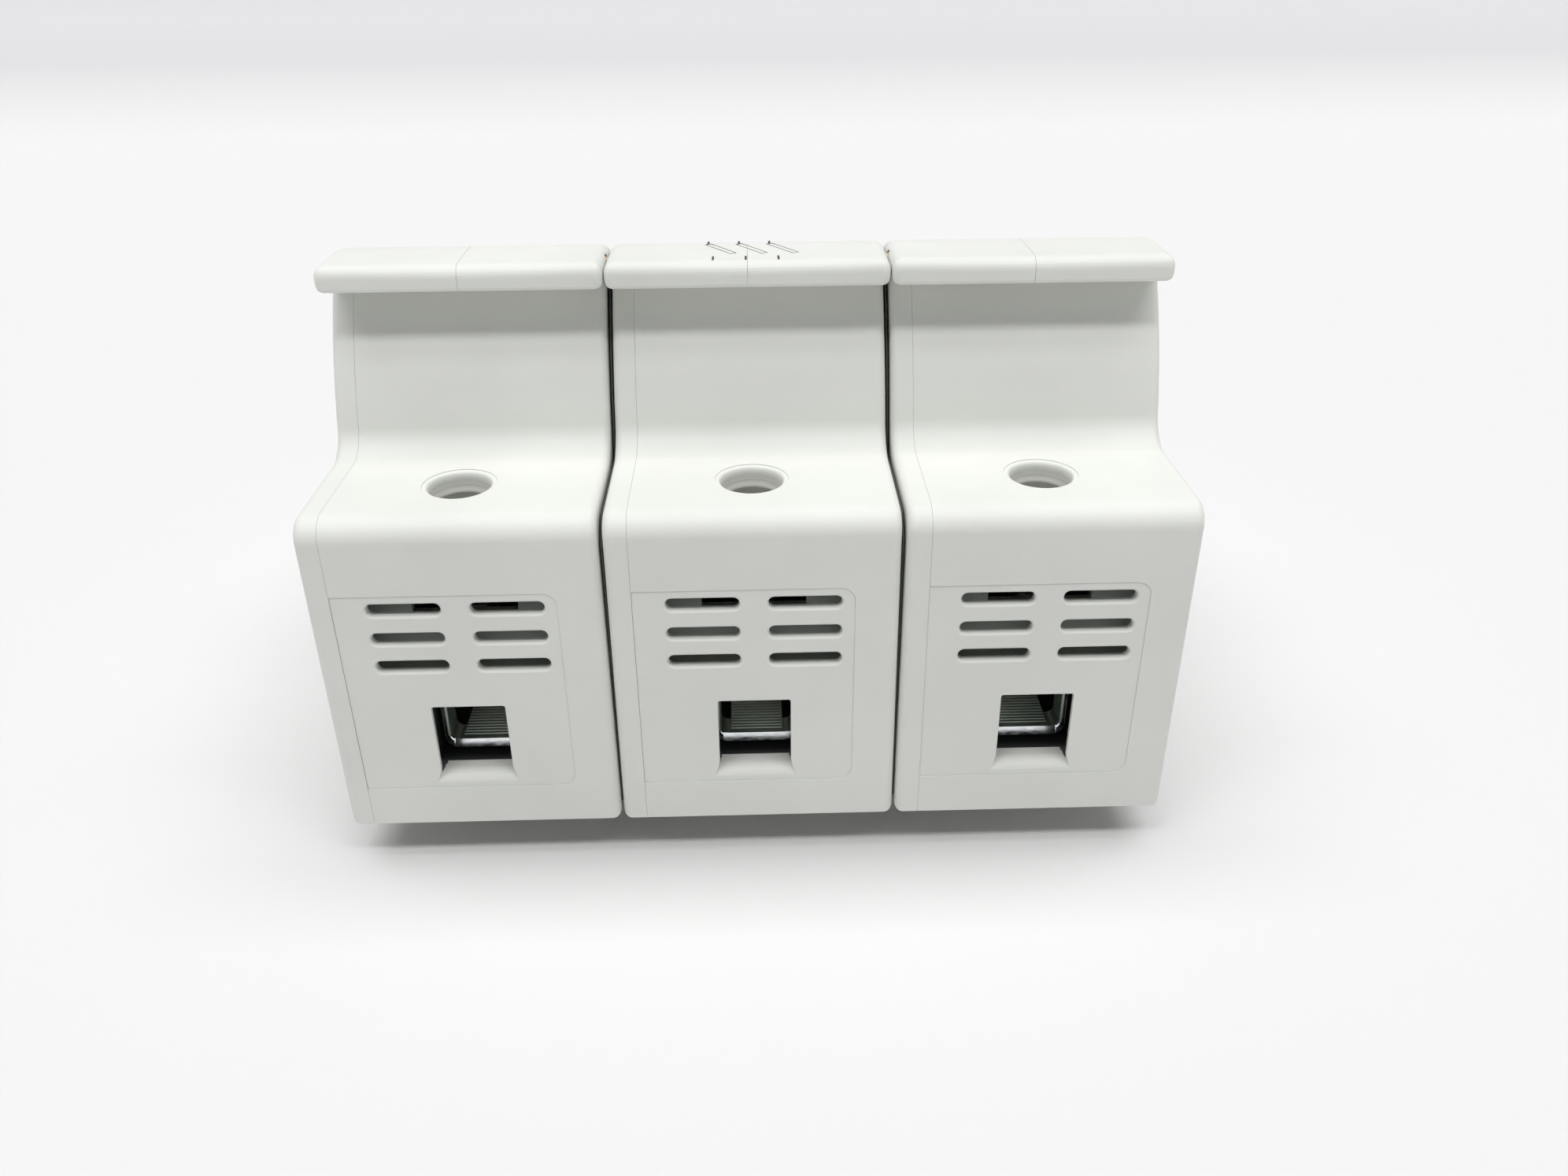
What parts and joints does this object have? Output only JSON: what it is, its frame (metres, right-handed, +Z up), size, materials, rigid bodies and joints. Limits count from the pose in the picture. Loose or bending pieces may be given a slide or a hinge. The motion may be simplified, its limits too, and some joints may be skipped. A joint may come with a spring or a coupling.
{
  "type": "fuse disconnector",
  "caption": "Pole-ganged cartridge fuse holder for a DIN rail: moulded housings with screw terminals and a swing-out carrier whose lipped handle lifts the fuses clear.",
  "frame": {"origin": "centre of the footprint, on the plane of the feet that flank the rail", "axes": "+Z up away from the rail, +X across the poles, +Y from the line end that the handle lip faces to the hinge end"},
  "size_m": [0.1194, 0.124, 0.0821],
  "materials": {
    "housing_plastic": "fine matt moulded thermoplastic, light grey",
    "handle_plastic": "fine matt moulded thermoplastic, light grey, a little paler than the housing",
    "fuse_fibre": "dull wound fibre tube",
    "cap_brass": "drawn brass, slightly dulled",
    "clip_copper": "rolled copper strip, bright with faint rolling lines",
    "spring_steel": "cold-rolled spring steel",
    "zinc_plate": "bright zinc plate on folded steel",
    "screw_steel": "zinc-plated machined steel",
    "latch_plastic": "fine matt moulded thermoplastic, dark grey"
  },
  "bodies": {
    "housing": {"housing_main_1": "housing_plastic", "housing_cover_1": "housing_plastic", "clip_line_1": "clip_copper", "clip_load_1": "clip_copper", "clip_spring_line_1": "spring_steel", "clip_spring_load_1": "spring_steel", "latch_spring_1": "spring_steel", "housing_main_2": "housing_plastic", "housing_cover_2": "housing_plastic", "clip_line_2": "clip_copper", "clip_load_2": "clip_copper", "clip_spring_line_2": "spring_steel", "clip_spring_load_2": "spring_steel", "latch_spring_2": "spring_steel", "housing_main_3": "housing_plastic", "housing_cover_3": "housing_plastic", "clip_line_3": "clip_copper", "clip_load_3": "clip_copper", "clip_spring_line_3": "spring_steel", "clip_spring_load_3": "spring_steel", "latch_spring_3": "spring_steel", "through_rivet_1": "screw_steel", "through_rivet_2": "screw_steel", "through_rivet_3": "screw_steel", "through_rivet_4": "screw_steel"},
    "carriers": {"carrier_left_1": "handle_plastic", "carrier_right_1": "handle_plastic", "fuse_barrel_1": "fuse_fibre", "fuse_cap_line_1": "cap_brass", "fuse_cap_load_1": "cap_brass", "carrier_left_2": "handle_plastic", "carrier_right_2": "handle_plastic", "fuse_barrel_2": "fuse_fibre", "fuse_cap_line_2": "cap_brass", "fuse_cap_load_2": "cap_brass", "carrier_left_3": "handle_plastic", "carrier_right_3": "handle_plastic", "fuse_barrel_3": "fuse_fibre", "fuse_cap_line_3": "cap_brass", "fuse_cap_load_3": "cap_brass", "handle_tie_1": "screw_steel", "handle_tie_2": "screw_steel"},
    "screw_line_1": {"clamp_screw_line_1": "screw_steel"},
    "cage_line_1": {"clamp_cage_line_1": "zinc_plate"},
    "screw_load_1": {"clamp_screw_load_1": "screw_steel"},
    "cage_load_1": {"clamp_cage_load_1": "zinc_plate"},
    "latch_1": {"rail_latch_1": "latch_plastic"},
    "screw_line_2": {"clamp_screw_line_2": "screw_steel"},
    "cage_line_2": {"clamp_cage_line_2": "zinc_plate"},
    "screw_load_2": {"clamp_screw_load_2": "screw_steel"},
    "cage_load_2": {"clamp_cage_load_2": "zinc_plate"},
    "latch_2": {"rail_latch_2": "latch_plastic"},
    "screw_line_3": {"clamp_screw_line_3": "screw_steel"},
    "cage_line_3": {"clamp_cage_line_3": "zinc_plate"},
    "screw_load_3": {"clamp_screw_load_3": "screw_steel"},
    "cage_load_3": {"clamp_cage_load_3": "zinc_plate"},
    "latch_3": {"rail_latch_3": "latch_plastic"}
  },
  "joints": [
    {"name": "carrier_swing", "type": "hinge", "parent": "housing", "child": "carriers", "pos_m": [0, 0.024, 0.04], "axis": [-1, 0, 0], "range_deg": [0, 75]},
    {"name": "screw_line_1_turn", "type": "hinge", "parent": "housing", "child": "screw_line_1", "pos_m": [-0.04, -0.04925, 0.0484], "axis": [0, 0, -1], "range_deg": [0, 3750]},
    {"name": "cage_line_1_lift", "type": "slide", "parent": "housing", "child": "cage_line_1", "axis": [0, 0, 1], "range_m": [0, 0.0104]},
    {"name": "screw_load_1_turn", "type": "hinge", "parent": "housing", "child": "screw_load_1", "pos_m": [-0.04, 0.04925, 0.0484], "axis": [0, 0, -1], "range_deg": [0, 3750]},
    {"name": "cage_load_1_lift", "type": "slide", "parent": "housing", "child": "cage_load_1", "axis": [0, 0, 1], "range_m": [0, 0.0104]},
    {"name": "latch_1_pull", "type": "slide", "parent": "housing", "child": "latch_1", "axis": [0, 1, 0], "range_m": [0, 0.004], "stiffness_N_per_m": 500, "springref_m": -0.006, "deforming": ["latch_spring_1"]},
    {"name": "screw_line_2_turn", "type": "hinge", "parent": "housing", "child": "screw_line_2", "pos_m": [0, -0.04925, 0.0484], "axis": [0, 0, -1], "range_deg": [0, 3750]},
    {"name": "cage_line_2_lift", "type": "slide", "parent": "housing", "child": "cage_line_2", "axis": [0, 0, 1], "range_m": [0, 0.0104]},
    {"name": "screw_load_2_turn", "type": "hinge", "parent": "housing", "child": "screw_load_2", "pos_m": [0, 0.04925, 0.0484], "axis": [0, 0, -1], "range_deg": [0, 3750]},
    {"name": "cage_load_2_lift", "type": "slide", "parent": "housing", "child": "cage_load_2", "axis": [0, 0, 1], "range_m": [0, 0.0104]},
    {"name": "latch_2_pull", "type": "slide", "parent": "housing", "child": "latch_2", "axis": [0, 1, 0], "range_m": [0, 0.004], "stiffness_N_per_m": 500, "springref_m": -0.006, "deforming": ["latch_spring_2"]},
    {"name": "screw_line_3_turn", "type": "hinge", "parent": "housing", "child": "screw_line_3", "pos_m": [0.04, -0.04925, 0.0484], "axis": [0, 0, -1], "range_deg": [0, 3750]},
    {"name": "cage_line_3_lift", "type": "slide", "parent": "housing", "child": "cage_line_3", "axis": [0, 0, 1], "range_m": [0, 0.0104]},
    {"name": "screw_load_3_turn", "type": "hinge", "parent": "housing", "child": "screw_load_3", "pos_m": [0.04, 0.04925, 0.0484], "axis": [0, 0, -1], "range_deg": [0, 3750]},
    {"name": "cage_load_3_lift", "type": "slide", "parent": "housing", "child": "cage_load_3", "axis": [0, 0, 1], "range_m": [0, 0.0104]},
    {"name": "latch_3_pull", "type": "slide", "parent": "housing", "child": "latch_3", "axis": [0, 1, 0], "range_m": [0, 0.004], "stiffness_N_per_m": 500, "springref_m": -0.006, "deforming": ["latch_spring_3"]}
  ],
  "couplings": [
    {"joint": "screw_line_1_turn", "follows": "cage_line_1_lift", "rad_per_m": 6283.2},
    {"joint": "screw_load_1_turn", "follows": "cage_load_1_lift", "rad_per_m": 6283.2},
    {"joint": "screw_line_2_turn", "follows": "cage_line_2_lift", "rad_per_m": 6283.2},
    {"joint": "screw_load_2_turn", "follows": "cage_load_2_lift", "rad_per_m": 6283.2},
    {"joint": "screw_line_3_turn", "follows": "cage_line_3_lift", "rad_per_m": 6283.2},
    {"joint": "screw_load_3_turn", "follows": "cage_load_3_lift", "rad_per_m": 6283.2}
  ]
}
